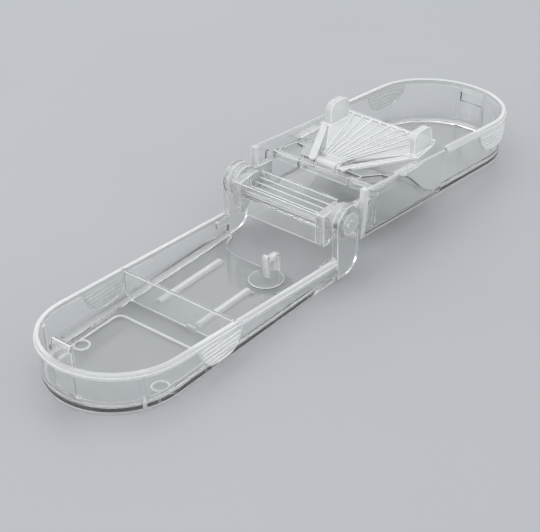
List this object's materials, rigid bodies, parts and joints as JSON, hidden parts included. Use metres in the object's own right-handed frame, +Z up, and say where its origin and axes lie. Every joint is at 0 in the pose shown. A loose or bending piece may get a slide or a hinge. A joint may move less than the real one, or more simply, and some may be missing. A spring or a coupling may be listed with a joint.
{
  "type": "live catch trap",
  "caption": "Folding clear plastic live catch trap, opened flat: hinged shallow and deep trays, a swinging entrance door, a fan-shaped flap over a ramp, a trigger catch and a spring latch.",
  "frame": {"origin": "on the table, under the middle of the open trap's bounding box", "axes": "+X from the shallow front tray to the deep rear tray, +Y along the hinge axis to the left side, +Z up"},
  "size_m": [0.277, 0.064, 0.0396],
  "materials": {
    "tray_plastic": "clear glossy",
    "moving_plastic": "clear glossy",
    "pin_plastic": "clear glossy",
    "frosted_plastic": "frosted"
  },
  "bodies": {
    "front": {"front_tray": "tray_plastic", "divider_wall": "tray_plastic", "catch_base": "frosted_plastic", "trigger_catch": "moving_plastic", "left_hinge_bracket": "tray_plastic", "right_hinge_bracket": "tray_plastic", "left_pivot_pin": "pin_plastic", "right_pivot_pin": "pin_plastic", "left_pin_cap": "pin_plastic", "right_pin_cap": "pin_plastic"},
    "latch": {"latch_tab": "moving_plastic"},
    "door": {"door_panel": "moving_plastic", "left_door_block": "frosted_plastic", "right_door_block": "frosted_plastic"},
    "rear": {"rear_tray": "tray_plastic", "left_hinge_arm": "tray_plastic", "right_hinge_arm": "tray_plastic", "deck_ramp": "tray_plastic", "flap_rod": "pin_plastic", "left_flap_rest": "frosted_plastic", "right_flap_rest": "frosted_plastic"},
    "flap": {"fan_flap": "moving_plastic"}
  },
  "joints": [
    {"name": "shell_hinge", "type": "hinge", "parent": "front", "child": "rear", "pos_m": [0.00011, 0, 0.0246], "axis": [0, -1, 0], "range_deg": [0, 182.9]},
    {"name": "door_swing", "type": "hinge", "parent": "front", "child": "door", "pos_m": [0.00011, 0, 0.0246], "axis": [0, 1, 0], "range_deg": [0, 60]},
    {"name": "flap_tilt", "type": "hinge", "parent": "rear", "child": "flap", "pos_m": [0.02595, 0, 0.02983], "axis": [0, -1, 0], "range_deg": [0, 7]},
    {"name": "latch_flex", "type": "hinge", "parent": "front", "child": "latch", "pos_m": [-0.1311, 0, 0.0032], "axis": [0, 1, 0], "range_deg": [0, 2.5]}
  ]
}
